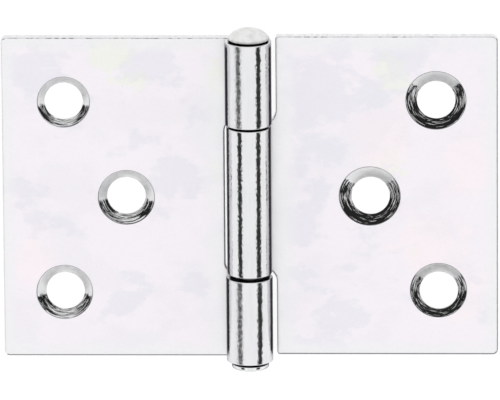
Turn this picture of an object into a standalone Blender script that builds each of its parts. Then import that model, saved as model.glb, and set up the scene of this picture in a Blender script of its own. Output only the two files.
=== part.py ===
"""Rolled butt hinge of the wide pattern: two sheet leaves on a riveted pin.

The hinge lies open on its back, as it would on a bench. X runs across the
leaves, Y along the pin toward its head, Z up. The backs of both leaves lie on
Z = 0, and the origin is under the middle of the hinge's box.
"""

import math

import bmesh
import bpy

MM = 0.001

# Driving dimensions of the sheet and the pin
LEAF_HEIGHT = 50.0 * MM
LEAF_REACH = 37.35 * MM
SHEET_THICKNESS = 1.5 * MM
PIN_DIAMETER = 3.5 * MM
PIN_CLEARANCE = 0.1 * MM

# Tabs that are rolled into the knuckles
CENTRE_KNUCKLE_LENGTH = 23.0 * MM
HEAD_SIDE_JOINT_GAP = 0.3 * MM
TAIL_SIDE_JOINT_GAP = 0.7 * MM
SEAM_GAP = 0.15 * MM

# Notches round the other leaf's knuckles, and the corners of the blanks
LEFT_NOTCH_RELIEF = 0.5 * MM
RIGHT_NOTCH_RELIEF = 0.7 * MM
TAB_ROOT_RADIUS = 1.9 * MM
TAB_ROOT_CLEARANCE = 0.1 * MM
OUTER_CORNER_RADIUS = 0.8 * MM
INNER_CORNER_RADIUS = 0.5 * MM
EDGE_ROUNDING = 0.25 * MM

# Screw holes
HOLE_DIAMETER = 5.8 * MM
LEFT_SINK_DIAMETER = 8.4 * MM
RIGHT_SINK_DIAMETER = 9.0 * MM
SINK_ANGLE = math.radians(100.0)
HOLE_END_INSET = 10.1 * MM
LEFT_OUTER_HOLE_INSET = 9.45 * MM
RIGHT_OUTER_HOLE_INSET = 9.1 * MM
LEFT_MIDDLE_HOLE_INSET = 18.75 * MM
RIGHT_MIDDLE_HOLE_INSET = 19.2 * MM

# Head and tail of the pin. The dome's widest circle would lie below its seat.
HEAD_OVERHANG = 1.55 * MM
HEAD_HEIGHT = 1.65 * MM
DOME_UNDERCUT = 0.48 * MM
TAIL_OVERHANG = 1.05 * MM
TAIL_HEIGHT = 0.8 * MM
TAIL_ROUNDING = 0.35 * MM
SEAT_GAP = 0.3 * MM

# Sizes that follow from the ones above
PIN_RADIUS = PIN_DIAMETER / 2
BORE_RADIUS = PIN_RADIUS + PIN_CLEARANCE
BARREL_RADIUS = BORE_RADIUS + SHEET_THICKNESS
HALF_HEIGHT = LEAF_HEIGHT / 2
HALF_TAB = CENTRE_KNUCKLE_LENGTH / 2
HALF_NOTCH = HALF_TAB + (HEAD_SIDE_JOINT_GAP + TAIL_SIDE_JOINT_GAP) / 2
RIGHT_LEAF_SHIFT = (TAIL_SIDE_JOINT_GAP - HEAD_SIDE_JOINT_GAP) / 2
HEAD_PROJECTION = SEAT_GAP + HEAD_HEIGHT
TAIL_PROJECTION = SEAT_GAP + TAIL_HEIGHT
LEAF_CENTRE_Y = (TAIL_PROJECTION - HEAD_PROJECTION) / 2

# The roll: from the flat under the pin, round to a seam above the front face
SEAM_ANGLE = math.asin((BORE_RADIUS - SEAM_GAP) / BARREL_RADIUS)
ROLL_ANGLE = 1.5 * math.pi + SEAM_ANGLE
NEUTRAL_RADIUS = BORE_RADIUS + SHEET_THICKNESS / 2
TAB_LENGTH = NEUTRAL_RADIUS * ROLL_ANGLE

# Facets
ROLL_STEPS = round(ROLL_ANGLE / math.radians(6.0))
CORNER_STEPS = 5
EDGE_STEPS = 2
DOME_STEPS = 12
TURNED_STEPS = 48
SHARP_ANGLE = math.radians(35.0)
CUTTER_MARGIN = 1.0 * MM
WELD_DISTANCE = 0.0005 * MM


def empty_scene():
    """Remove whatever the file holds."""
    for old in list(bpy.data.objects):
        bpy.data.objects.remove(old, do_unlink=True)


def new_collection(name):
    collection = bpy.data.collections.new(name)
    bpy.context.scene.collection.children.link(collection)
    return collection


def zinc_plate(name, colour, roughness):
    """Bright zinc plating on steel."""
    material = bpy.data.materials.new(name)
    material.use_nodes = True
    shader = material.node_tree.nodes["Principled BSDF"]
    shader.inputs["Base Color"].default_value = (*colour, 1.0)
    shader.inputs["Metallic"].default_value = 1.0
    shader.inputs["Roughness"].default_value = roughness
    return material


def arc(centre, radius, start, end, steps):
    """Points on a circle from one angle to another, both ends included."""
    points = []
    for i in range(steps + 1):
        angle = start + (end - start) * i / steps
        points.append((centre[0] + radius * math.cos(angle),
                       centre[1] + radius * math.sin(angle)))
    return points


def rounded_outline(corners):
    """A closed outline through (x, y, radius) corners, each rounded by an arc."""
    outline = []
    for i, (x, y, radius) in enumerate(corners):
        if radius == 0:
            outline.append((x, y))
            continue
        before = corners[i - 1]
        after = corners[(i + 1) % len(corners)]
        arriving = math.atan2(before[1] - y, before[0] - x)
        leaving = math.atan2(after[1] - y, after[0] - x)
        opening = (leaving - arriving + math.pi) % (2 * math.pi) - math.pi
        reach = radius / math.sin(abs(opening) / 2)
        towards = arriving + opening / 2
        centre = (x + reach * math.cos(towards), y + reach * math.sin(towards))
        start = arriving - math.copysign(math.pi / 2, opening)
        sweep = math.copysign(math.pi - abs(opening), opening)
        outline.extend(arc(centre, radius, start, start - sweep, CORNER_STEPS))
    return outline


def evaluated_mesh(body):
    """The mesh that a curve, or a mesh with its modifiers, comes to."""
    bpy.context.view_layer.update()
    graph = bpy.context.evaluated_depsgraph_get()
    return bpy.data.meshes.new_from_object(body.evaluated_get(graph))


def add_object(name, mesh, collection, parent, location=(0, 0, 0), rotation=(0, 0, 0)):
    body = bpy.data.objects.new(name, mesh)
    body.location = location
    body.rotation_euler = rotation
    body.parent = parent
    collection.objects.link(body)
    return body


def add_cutter(name, mesh, collection, parent, location):
    cutter = add_object(name, mesh, collection, parent, location)
    cutter.hide_render = True
    cutter.display_type = "WIRE"
    return cutter


def shade(mesh):
    """Shade smooth between the edges that are sharp."""
    mesh.shade_smooth()
    mesh.set_sharp_from_angle(angle=SHARP_ANGLE)


def turned_mesh(name, profile, collection):
    """A solid of revolution about Z, from a (radius, height) profile run downward."""
    mesh = bpy.data.meshes.new(name)
    points = [(radius, 0.0, height) for radius, height in profile]
    edges = [(i, i + 1) for i in range(len(points) - 1)]
    mesh.from_pydata(points, edges, [])
    lathe = add_object(name + "_profile", mesh, collection, None)
    screw = lathe.modifiers.new("Turn", "SCREW")
    screw.axis = "Z"
    screw.steps = TURNED_STEPS
    screw.render_steps = TURNED_STEPS
    screw.use_merge_vertices = True
    screw.merge_threshold = WELD_DISTANCE
    solid = evaluated_mesh(lathe)
    solid.name = name
    bpy.data.objects.remove(lathe, do_unlink=True)
    shade(solid)
    return solid


def flat_blank(name, outline, collection):
    """The sheet cut to an outline, as a bmesh with its back on Z = 0."""
    curve = bpy.data.curves.new(name, "CURVE")
    curve.dimensions = "2D"
    curve.fill_mode = "BOTH"
    curve.extrude = SHEET_THICKNESS / 2
    spline = curve.splines.new("POLY")
    spline.points.add(len(outline) - 1)
    for point, (x, y) in zip(spline.points, outline):
        point.co = (x, y, 0.0, 1.0)
    spline.use_cyclic_u = True
    sheet = add_object(name + "_blank", curve, collection, None, (0, 0, SHEET_THICKNESS / 2))
    mesh = evaluated_mesh(sheet)
    mesh.transform(sheet.matrix_world)
    bpy.data.objects.remove(sheet, do_unlink=True)

    blank = bmesh.new()
    blank.from_mesh(mesh)
    bpy.data.meshes.remove(mesh)
    bmesh.ops.remove_doubles(blank, verts=blank.verts, dist=WELD_DISTANCE)
    bmesh.ops.recalc_face_normals(blank, faces=blank.faces)
    bmesh.ops.dissolve_limit(blank, angle_limit=math.radians(1.0),
                             verts=blank.verts, edges=blank.edges)
    return blank


def round_edges(blank):
    """Round the punched edges, where the wide faces meet the cut ones."""
    punched = [edge for edge in blank.edges
               if edge.calc_face_angle(0.0) > math.radians(60.0)]
    bmesh.ops.bevel(blank, geom=punched, offset=EDGE_ROUNDING, offset_type="OFFSET",
                    segments=EDGE_STEPS, profile=0.5, affect="EDGES", clamp_overlap=False)


def roll_tabs(blank, side):
    """Bend what reaches past the pin's axis up and over the pin.

    The back of the sheet becomes the outside of the barrel, the neutral layer
    keeps its length, and each section across the sheet stays radial. The axis
    ends at the blank's own origin.
    """
    for i in range(ROLL_STEPS):
        reach = TAB_LENGTH * i / ROLL_STEPS
        geometry = list(blank.verts) + list(blank.edges) + list(blank.faces)
        bmesh.ops.bisect_plane(blank, geom=geometry, dist=WELD_DISTANCE,
                               plane_co=(-side * reach, 0, 0), plane_no=(1, 0, 0))
    for vertex in blank.verts:
        past_axis = max(-side * vertex.co.x, 0.0)
        angle = past_axis / NEUTRAL_RADIUS
        radius = BARREL_RADIUS - vertex.co.z
        if past_axis > 0:
            vertex.co.x = -side * radius * math.sin(angle)
        vertex.co.z = -radius * math.cos(angle)


def root_radius(root):
    """The fillet at a tab's root, kept clear of the neighbouring knuckle.

    root is where the notch ends, out from the axis. Past the knuckle's foot,
    the width of the barrel where the sheet's front face meets it, the fillet
    may stand into the joint's gap by all but the named clearance.
    """
    foot = math.sqrt(BARREL_RADIUS ** 2 - BORE_RADIUS ** 2)
    free = root - foot
    stand = min(HEAD_SIDE_JOINT_GAP, TAIL_SIDE_JOINT_GAP) - TAB_ROOT_CLEARANCE
    return min(TAB_ROOT_RADIUS, stand + free + math.sqrt(2 * stand * free))


def left_corners():
    """Corners of the left blank, two end tabs, measured out from the axis."""
    root = BARREL_RADIUS + LEFT_NOTCH_RELIEF
    return [(LEAF_REACH, HALF_HEIGHT, OUTER_CORNER_RADIUS),
            (-TAB_LENGTH, HALF_HEIGHT, 0),
            (-TAB_LENGTH, HALF_NOTCH, 0),
            (root, HALF_NOTCH, root_radius(root)),
            (root, -HALF_NOTCH, root_radius(root)),
            (-TAB_LENGTH, -HALF_NOTCH, 0),
            (-TAB_LENGTH, -HALF_HEIGHT, 0),
            (LEAF_REACH, -HALF_HEIGHT, OUTER_CORNER_RADIUS)]


def right_corners():
    """Corners of the right blank, one centre tab, measured out from the axis."""
    root = BARREL_RADIUS + RIGHT_NOTCH_RELIEF
    return [(LEAF_REACH, HALF_HEIGHT, OUTER_CORNER_RADIUS),
            (root, HALF_HEIGHT, INNER_CORNER_RADIUS),
            (root, HALF_TAB, root_radius(root)),
            (-TAB_LENGTH, HALF_TAB, 0),
            (-TAB_LENGTH, -HALF_TAB, 0),
            (root, -HALF_TAB, root_radius(root)),
            (root, -HALF_HEIGHT, INNER_CORNER_RADIUS),
            (LEAF_REACH, -HALF_HEIGHT, OUTER_CORNER_RADIUS)]


def sink_profile(sink_diameter):
    """Countersink and hole, from above the front face to below the back."""
    slope = math.tan(SINK_ANGLE / 2)
    above = SHEET_THICKNESS + CUTTER_MARGIN
    cone_foot = SHEET_THICKNESS - (sink_diameter - HOLE_DIAMETER) / 2 / slope
    below = min(cone_foot, 0.0) - CUTTER_MARGIN
    return [(0, above),
            (sink_diameter / 2 + CUTTER_MARGIN * slope, above),
            (HOLE_DIAMETER / 2, cone_foot),
            (HOLE_DIAMETER / 2, below),
            (0, below)]


def cut_screw_holes(leaf, side, insets, sink_diameter, shift, cutters, axis):
    """Two holes near the free edge and one between them, nearer the knuckles."""
    outer, middle = [LEAF_REACH - inset for inset in insets]
    high = HALF_HEIGHT - HOLE_END_INSET
    holes = [(outer, high), (middle, 0.0), (outer, -high)]
    sink = turned_mesh(leaf.name + "_sink", sink_profile(sink_diameter), cutters)
    for i, (reach, y) in enumerate(holes):
        place = (side * reach, y + shift, -BARREL_RADIUS)
        cutter = add_cutter(f"{leaf.name}_sink_{i + 1}", sink, cutters, axis, place)
        boolean = leaf.modifiers.new(cutter.name, "BOOLEAN")
        boolean.operation = "DIFFERENCE"
        boolean.solver = "EXACT"
        boolean.object = cutter


def build_leaf(name, side, corners, insets, sink_diameter, shift, parts, cutters, axis):
    """A punched leaf with its tabs rolled up round the pin's axis.

    side is -1 for the leaf on the left and 1 for the one on the right. insets
    are those of the outer holes and of the middle one from the free edge. The
    leaf's own origin is on the pin's axis, so that it turns about it.
    """
    outline = rounded_outline([(side * x, y, radius) for x, y, radius in corners])
    blank = flat_blank(name, outline, cutters)
    round_edges(blank)
    roll_tabs(blank, side)
    mesh = bpy.data.meshes.new(name)
    blank.to_mesh(mesh)
    blank.free()
    leaf = add_object(name, mesh, parts, axis, (0, shift, 0))
    cut_screw_holes(leaf, side, insets, sink_diameter, shift, cutters, axis)
    leaf.data = evaluated_mesh(leaf)
    leaf.modifiers.clear()
    shade(leaf.data)
    return leaf


def pin_profile():
    """Domed head, shank and peened tail, measured along the pin.

    The dome is part of an ellipse about a point under its seat.
    """
    head_seat = HALF_HEIGHT + SEAT_GAP
    dome_radius = PIN_RADIUS + HEAD_OVERHANG
    dome_height = HEAD_HEIGHT + DOME_UNDERCUT
    dome_centre = head_seat - DOME_UNDERCUT
    foot = math.asin(DOME_UNDERCUT / dome_height)
    profile = [(0, dome_centre + dome_height)]
    for i in range(1, DOME_STEPS + 1):
        angle = foot + (math.pi / 2 - foot) * (1 - i / DOME_STEPS)
        profile.append((dome_radius * math.cos(angle),
                        dome_centre + dome_height * math.sin(angle)))
    profile.append((PIN_RADIUS, head_seat))

    tail_radius = PIN_RADIUS + TAIL_OVERHANG
    tail_seat = -HALF_HEIGHT - SEAT_GAP
    tail_end = tail_seat - TAIL_HEIGHT
    profile.append((PIN_RADIUS, tail_seat))
    profile.append((tail_radius, tail_seat))
    corner = (tail_radius - TAIL_ROUNDING, tail_end + TAIL_ROUNDING)
    profile.extend(arc(corner, TAIL_ROUNDING, 0, -math.pi / 2, CORNER_STEPS))
    profile.append((0, tail_end))
    return profile


def build_pin(parts, axis):
    """The pin, turned about its own Z and laid along Y with its head at +Y."""
    mesh = turned_mesh("hinge_pin", pin_profile(), parts)
    return add_object("hinge_pin", mesh, parts, axis, rotation=(-math.pi / 2, 0, 0))


def build_hinge():
    empty_scene()
    parts = new_collection("wide_hinge")
    cutters = new_collection("screw_hole_cutters")
    axis = bpy.data.objects.new("pin_axis", None)
    axis.location = (0, LEAF_CENTRE_Y, BARREL_RADIUS)
    parts.objects.link(axis)

    left = build_leaf("left_leaf", -1, left_corners(),
                      (LEFT_OUTER_HOLE_INSET, LEFT_MIDDLE_HOLE_INSET),
                      LEFT_SINK_DIAMETER, 0.0, parts, cutters, axis)
    right = build_leaf("right_leaf", 1, right_corners(),
                       (RIGHT_OUTER_HOLE_INSET, RIGHT_MIDDLE_HOLE_INSET),
                       RIGHT_SINK_DIAMETER, RIGHT_LEAF_SHIFT, parts, cutters, axis)
    pin = build_pin(parts, axis)

    left.data.materials.append(zinc_plate("zinc_left_leaf", (0.80, 0.80, 0.82), 0.25))
    right.data.materials.append(zinc_plate("zinc_right_leaf", (0.81, 0.80, 0.82), 0.25))
    pin.data.materials.append(zinc_plate("zinc_pin", (0.74, 0.74, 0.74), 0.35))


build_hinge()
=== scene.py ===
"""Wide rolled hinge in bright zinc, lying open on its back on a white table."""

import math

import bpy
import numpy as np
from mathutils import Matrix, Vector
from mathutils.geometry import delaunay_2d_cdt


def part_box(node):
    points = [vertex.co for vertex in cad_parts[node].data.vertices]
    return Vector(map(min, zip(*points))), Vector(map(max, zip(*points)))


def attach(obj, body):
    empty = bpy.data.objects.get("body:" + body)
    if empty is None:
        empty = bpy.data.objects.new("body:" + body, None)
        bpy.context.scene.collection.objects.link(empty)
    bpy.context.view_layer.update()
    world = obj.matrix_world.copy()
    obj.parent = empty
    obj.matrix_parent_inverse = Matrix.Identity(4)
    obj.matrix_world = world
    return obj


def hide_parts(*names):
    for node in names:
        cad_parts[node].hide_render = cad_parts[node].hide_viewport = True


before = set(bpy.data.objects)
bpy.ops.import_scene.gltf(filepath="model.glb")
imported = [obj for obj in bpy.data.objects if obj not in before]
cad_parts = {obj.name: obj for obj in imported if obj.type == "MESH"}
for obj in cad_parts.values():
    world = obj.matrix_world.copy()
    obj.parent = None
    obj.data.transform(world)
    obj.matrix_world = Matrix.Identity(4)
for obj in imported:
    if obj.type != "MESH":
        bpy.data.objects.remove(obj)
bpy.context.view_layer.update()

bl_info = {
    "name": "Wide rolled hinge",
    "version": (1, 0, 0),
    "blender": (4, 5, 0),
    "location": "3D View > Sidebar > Hinge",
    "description": "Dresses a wide rolled hinge in bright zinc, with its studio",
    "category": "Mesh",
}

MM = 0.001

# The solids' own boxes give the sizes that both models share
LEFT_LOW, LEFT_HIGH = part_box("left_leaf")
RIGHT_LOW, RIGHT_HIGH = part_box("right_leaf")
PIN_LOW, PIN_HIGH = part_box("hinge_pin")
BARREL_RADIUS = LEFT_HIGH.z / 2
LEAF_REACH = RIGHT_HIGH.x
HALF_HEIGHT = (LEFT_HIGH.y - LEFT_LOW.y) / 2
LEFT_MIDDLE = (LEFT_HIGH.y + LEFT_LOW.y) / 2
RIGHT_MIDDLE = (RIGHT_HIGH.y + RIGHT_LOW.y) / 2

# Material slots of a leaf, then of the pin
FACE, KNUCKLE, SINK, CHIPS_AND_SHADE, PAINTED_OUTLINE_SHADE, WALL, TAB_LIP, TAB_WALL = range(8)
HEAD, SHANK, TAIL = range(3)

# How far the leaves' and the pin's UV maps run for each millimetre
SHEET_UV = 0.01
PIN_UV = 0.05


class SheetSizes(bpy.types.PropertyGroup):
    """Sizes of the punched and rolled sheet."""

    thickness: bpy.props.FloatProperty(
        name="Thickness", description="Thickness of the sheet", default=1.5 * MM,
        min=0.5 * MM, unit="LENGTH", precision=5)
    seam_gap: bpy.props.FloatProperty(
        name="Seam gap", description="Gap between a tab's end and the leaf's front",
        default=0.15 * MM, min=0.0, unit="LENGTH", precision=5)
    hole_diameter: bpy.props.FloatProperty(
        name="Hole", description="Diameter of the screw holes", default=5.8 * MM,
        min=1.0 * MM, unit="LENGTH", precision=5)
    edge_rounding: bpy.props.FloatProperty(
        name="Edge rounding", description="Radius that tumbling leaves on the front edges",
        default=0.22 * MM, min=0.05 * MM, unit="LENGTH", precision=5)
    back_rounding: bpy.props.FloatProperty(
        name="Back rounding", description="Radius left on the edges of the back",
        default=0.12 * MM, min=0.02 * MM, unit="LENGTH", precision=5)
    dish_depth: bpy.props.FloatProperty(
        name="Dish", description="How far the punch drags the front down beside a cut",
        default=0.02 * MM, min=0.0, unit="LENGTH", precision=5)
    least_land: bpy.props.FloatProperty(
        name="Land", description="Least height of the hole's wall under its countersink",
        default=0.08 * MM, min=0.02 * MM, unit="LENGTH", precision=5)
    tool_marks: bpy.props.FloatProperty(
        name="Tool marks", description="Height of the countersink's turning marks",
        default=0.003 * MM, min=0.0, unit="LENGTH", precision=6)


class PinSizes(bpy.types.PropertyGroup):
    """Sizes of the riveted pin."""

    shank_diameter: bpy.props.FloatProperty(
        name="Shank", description="Diameter of the pin inside the knuckles",
        default=3.5 * MM, min=1.0 * MM, unit="LENGTH", precision=5)
    seat_gap: bpy.props.FloatProperty(
        name="Seat gap", description="Gap between head or tail and the end knuckles",
        default=0.3 * MM, min=0.0, unit="LENGTH", precision=5)
    head_trim: bpy.props.FloatProperty(
        name="Head trim", description="How much smaller the head's radius is than its solid's",
        default=0.11 * MM, min=0.0, unit="LENGTH", precision=5)
    head_offset: bpy.props.FloatProperty(
        name="Head offset", description="How far off the pin's axis the head was formed",
        default=0.08 * MM, unit="LENGTH", precision=5)
    dome_undercut: bpy.props.FloatProperty(
        name="Undercut", description="How far under its seat the dome would be widest",
        default=0.48 * MM, min=0.0, unit="LENGTH", precision=5)
    tail_diameter: bpy.props.FloatProperty(
        name="Tail", description="Diameter of the peened tail",
        default=5.6 * MM, min=1.0 * MM, unit="LENGTH", precision=5)


class ZincFinish(bpy.types.PropertyGroup):
    """Colours and gloss of the plating."""

    zinc: bpy.props.FloatVectorProperty(
        name="Zinc", description="Colour of the bright plating", subtype="COLOR",
        size=3, min=0.0, max=1.0, default=(0.875, 0.88, 0.89))
    lavender: bpy.props.FloatVectorProperty(
        name="Lavender", description="Pinkish lavender tint of the passivation film",
        subtype="COLOR", size=3, min=0.0, max=1.0, default=(0.915, 0.875, 0.919))
    cloud: bpy.props.FloatVectorProperty(
        name="Cloud", description="Blue-grey blots in the film", subtype="COLOR",
        size=3, min=0.0, max=1.0, default=(0.76, 0.77, 0.835))
    straw: bpy.props.FloatVectorProperty(
        name="Straw", description="Greenish yellow tint of the film", subtype="COLOR",
        size=3, min=0.0, max=1.0, default=(0.88, 0.895, 0.81))
    rose: bpy.props.FloatVectorProperty(
        name="Rose", description="Strongest pink of the film", subtype="COLOR",
        size=3, min=0.0, max=1.0, default=(0.955, 0.872, 0.905))
    face_roughness: bpy.props.FloatProperty(
        name="Face roughness", description="Roughness of the flat faces",
        default=0.34, min=0.0, max=1.0, subtype="FACTOR")
    knuckle_roughness: bpy.props.FloatProperty(
        name="Knuckle roughness", description="Roughness of the rolled knuckles",
        default=0.075, min=0.0, max=1.0, subtype="FACTOR")


class StudioLook(bpy.types.PropertyGroup):
    """Light and backdrop."""

    dome: bpy.props.FloatProperty(
        name="Dome", description="Strength of the white light dome",
        default=1.02, min=0.0)
    flag: bpy.props.FloatProperty(
        name="Flags", description="What is left of the light where black flags stand",
        default=0.035, min=0.0, max=1.0)
    skirt: bpy.props.FloatProperty(
        name="Skirt", description="What is left of the light low behind the pin's head",
        default=0.6, min=0.0, max=1.0)
    floor_glow: bpy.props.FloatProperty(
        name="Table glow", description="Share of the table's white that no shadow dims",
        default=0.8, min=0.0, max=1.0, subtype="FACTOR")


class Surface:
    """Vertices, faces, UV coordinates and material slots of one piece, as arrays."""

    def __init__(self):
        self.points = []
        self.faces = []
        self.uvs = []
        self.slots = []
        self.count = 0

    def add_points(self, points):
        """Append points of any leading shape and return their indices in that shape."""
        flat = points.reshape(-1, 3)
        index = self.count + np.arange(len(flat)).reshape(points.shape[:-1])
        self.points.append(flat)
        self.count += len(flat)
        return index

    def add_grid(self, index, uv, slots, flip=False):
        """Join grid[i, k] to its neighbours in i and k by four-sided faces.

        The last i is joined to the first, so uv has one more row than index, and
        the coordinates run on without a jump. slots has one number for each k
        between two columns.
        """
        follow = np.roll(index, -1, 0)
        quads = np.stack([index[:, :-1], index[:, 1:], follow[:, 1:], follow[:, :-1]], -1)
        coords = np.stack([uv[:-1, :-1], uv[:-1, 1:], uv[1:, 1:], uv[1:, :-1]], -2)
        if flip:
            quads = quads[..., ::-1]
            coords = coords[..., ::-1, :]
        self.faces.append(quads.reshape(-1, 4))
        self.uvs.append(coords.reshape(-1, 4, 2))
        self.slots.append(np.broadcast_to(slots, quads.shape[:2]).reshape(-1))

    def add_triangles(self, triangles, uv, slots):
        self.faces.append(triangles)
        self.uvs.append(uv)
        self.slots.append(slots)

    def turn_over(self):
        """Reverse every face, for a piece whose coordinates were mirrored."""
        self.faces = [faces[:, ::-1] for faces in self.faces]
        self.uvs = [uv[:, ::-1] for uv in self.uvs]

    def make_object(self, name, materials):
        """Put the arrays into a mesh, shade it smooth and return its object."""
        mesh = bpy.data.meshes.new(name)
        points = np.concatenate(self.points)
        sizes = np.concatenate([np.full(len(f), f.shape[1]) for f in self.faces])
        corners = np.concatenate([f.reshape(-1) for f in self.faces])
        mesh.vertices.add(len(points))
        mesh.vertices.foreach_set("co", points.astype(np.float32).reshape(-1))
        mesh.loops.add(len(corners))
        mesh.loops.foreach_set("vertex_index", corners.astype(np.int32))
        mesh.polygons.add(len(sizes))
        starts = np.concatenate([[0], np.cumsum(sizes)[:-1]])
        mesh.polygons.foreach_set("loop_start", starts.astype(np.int32))
        mesh.polygons.foreach_set("material_index", np.concatenate(self.slots).astype(np.int32))
        layer = mesh.uv_layers.new(name="sheet")
        uv = np.concatenate([u.reshape(-1, 2) for u in self.uvs])
        layer.uv.foreach_set("vector", uv.astype(np.float32).reshape(-1))
        mesh.update(calc_edges=True)
        mesh.validate()
        mesh.shade_smooth()
        for material in materials:
            mesh.materials.append(material)
        piece = bpy.data.objects.new(name, mesh)
        bpy.context.scene.collection.objects.link(piece)
        return piece


def arc_steps(start, end, steps):
    """Cosines and sines along an arc, as two arrays."""
    angle = np.linspace(start, end, steps + 1)
    return np.cos(angle), np.sin(angle)


# Steps round a blank's corner, and how far from its corners a tab has stations
CORNER_STEPS = 8
STATION_INSET = 0.05 * MM


def blank_outline(corners, stations):
    """Points and outward normals round a blank, counter-clockwise.

    The two sides at a corner have the outward normals m and n. An arc point is
    centre + sign * radius * (m cos t + n sin t) for t from 0 to a right angle,
    where sign is -1 at a corner that turns inward, and its normal is the same
    sum without the radius. A side along a tab gets a point at each station.
    """
    corners = np.array(corners)
    cos, sin = arc_steps(0, math.pi / 2, CORNER_STEPS)
    points, normals = [], []
    for before, here, after in zip(np.roll(corners, 1, 0), corners, np.roll(corners, -1, 0)):
        into = (here - before)[:2] / np.linalg.norm((here - before)[:2])
        out = (after - here)[:2] / np.linalg.norm((after - here)[:2])
        m = np.array([into[1], -into[0]])
        n = np.array([out[1], -out[0]])
        sign = np.sign(into[0] * out[1] - into[1] * out[0])
        centre = here[:2] - sign * here[2] * (m + n)
        direction = np.outer(cos, m) + np.outer(sin, n)
        points.append(centre + sign * here[2] * direction)
        normals.append(direction)
        if abs(out[0]) > 0.5:
            ends = np.sort([here[0] + out[0] * here[2], after[0] - out[0] * after[2]])
            along = stations[(stations > ends[0] + STATION_INSET)
                             & (stations < ends[1] - STATION_INSET)]
            along = np.sort(along)[::int(out[0])]
            points.append(np.stack([along, np.full(len(along), here[1])], -1))
            normals.append(np.tile(n, (len(along), 1)))
    return np.concatenate(points), np.concatenate(normals)


# Rows of the front face beside an edge, as shares of the band's width, then the
# steps of the two roundings, the share of the sheet's thickness below which the
# sheared wall is broken, and how far it leans in there
EDGE_WIDTH = 0.42 * MM
EDGE_ROWS = (1.12, 1.0, 0.86)
EDGE_STEPS = 6
BACK_STEPS = 4
BREAK_SHARE = 0.42
BREAK_LEAN = 0.03 * MM

# Steps of the front's rounding that count as its upper part, and the wall's rows
UPPER_STEPS = 2
WALL_ROWS = 2


def edge_profile(front, sizes):
    """Inset and height from the front face, over the cut edge, to the back.

    The front sinks by dish * (1 - inset / width) squared beside the cut, then
    turns down by a quarter circle, whose radius front has one value for each
    point of the outline. The sheared wall leans in by a little in its lower
    part, where the sheet broke, and a smaller quarter circle leads to the back.
    """
    front = front[:, None]
    lead = EDGE_WIDTH * np.array([EDGE_ROWS]) + 0 * front
    cos, sin = arc_steps(0, math.pi / 2, EDGE_STEPS)
    inset = np.concatenate([lead, front * (1 - sin)], 1)
    drop = np.concatenate([0 * lead, front * (1 - cos)], 1)
    drop += sizes.dish_depth * np.clip(1 - inset / EDGE_WIDTH, 0, 1) ** 2
    back = sizes.back_rounding
    cos, sin = arc_steps(0, math.pi / 2, BACK_STEPS)
    lower = np.concatenate([[0.0], BREAK_LEAN + back * (1 - cos), [EDGE_WIDTH * EDGE_ROWS[0]]])
    lower_height = np.concatenate([[sizes.thickness * BREAK_SHARE], back * (1 - sin), [0.0]])
    inset = np.concatenate([inset, lower + 0 * front], 1)
    height = np.concatenate([sizes.thickness - drop, lower_height + 0 * front], 1)
    return inset, height


def edge_slots(rows, on_tab, normals, bright, shaded):
    """Material slots from row to row of the edge's profile, for each point of the outline.

    The rounding toward the head is painted darker with dark chips, which also
    stand in for the dotted dark reflection there. Elsewhere it is painted dark,
    painted shade along the outline, from a smaller angle on the side toward -Y
    and on the shaded one, but for the bright places.
    """
    row = np.arange(rows)[None]
    start = len(EDGE_ROWS)
    end = start + EDGE_STEPS
    tab = on_tab[:, None]
    slots = np.where(tab, KNUCKLE, FACE) * np.ones(rows, int)
    toward_head = (normals[:, 1] > 0.5)[:, None]
    broad_shade = ((normals[:, 1] < -0.5) | shaded)[:, None]
    # Chips toward the head, which also paint dots of shade into the dark reflected line there
    chips_and_shade = toward_head & (row >= start) & (row < start + UPPER_STEPS)
    first = np.where(broad_shade, start, start + UPPER_STEPS)
    # Painted shade along the outline, starting higher on the -Y and shaded sides
    outline_shade = ~toward_head & ~bright[:, None] & (row >= first) & (row < end)
    slots = np.where(~tab & chips_and_shade, CHIPS_AND_SHADE, slots)
    slots = np.where(~tab & outline_shade, PAINTED_OUTLINE_SHADE, slots)
    # The knuckles' rounded ends take a painted white highlight
    slots = np.where(tab & (row > start) & (row < end), TAB_LIP, slots)
    wall = (row >= end) & (row < end + WALL_ROWS)
    # The knuckles' end faces take the painted shade of the joints
    return np.where(wall, np.where(tab, TAB_WALL, WALL), slots)


# Pitches of a countersink's turning marks, and how far their phase drifts in slow
# waves and in quick ones round the hole
MARK_PITCHES = np.array([0.22, 0.31, 0.45]) * MM
SLOW_DRIFT = 1.6
QUICK_DRIFT = 0.7
QUICK_WAVES = 7


def marks(angle, radius, seed):
    """Turning marks: sines along the radius, whose phase drifts with the angle."""
    rng = np.random.default_rng(seed)
    height = np.zeros(np.broadcast(angle, radius).shape)
    for pitch in MARK_PITCHES:
        slow_waves = rng.integers(1, 5)
        phase = rng.uniform(0, 2 * math.pi, 3)
        drift = (SLOW_DRIFT * np.sin(slow_waves * angle + phase[0])
                 + QUICK_DRIFT * np.sin(QUICK_WAVES * angle + phase[1]))
        height += np.sin(2 * math.pi * radius / pitch + drift + phase[2]) / len(MARK_PITCHES)
    return height


# Points round a screw hole, rows of its cone, and rows of the front face beside
# the rim, by their distance from it and how far they have sunk
HOLE_TURNS = 96
CONE_ROWS = 22
LIP = np.array([0.14, 0.10, 0.05, 0.02]) * MM
LIP_DROP = np.array([0.0, 0.0, 0.003, 0.012]) * MM
RIM_DROP = 0.03 * MM

# The wall's own row, as a share of its height, the steps of its rounding at the
# back, and rows of the back face round the hole
WALL_SHARE = 0.8
HOLE_BACK_STEPS = 3
BACK_LIP = np.array([0.20, 0.26]) * MM


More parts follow.
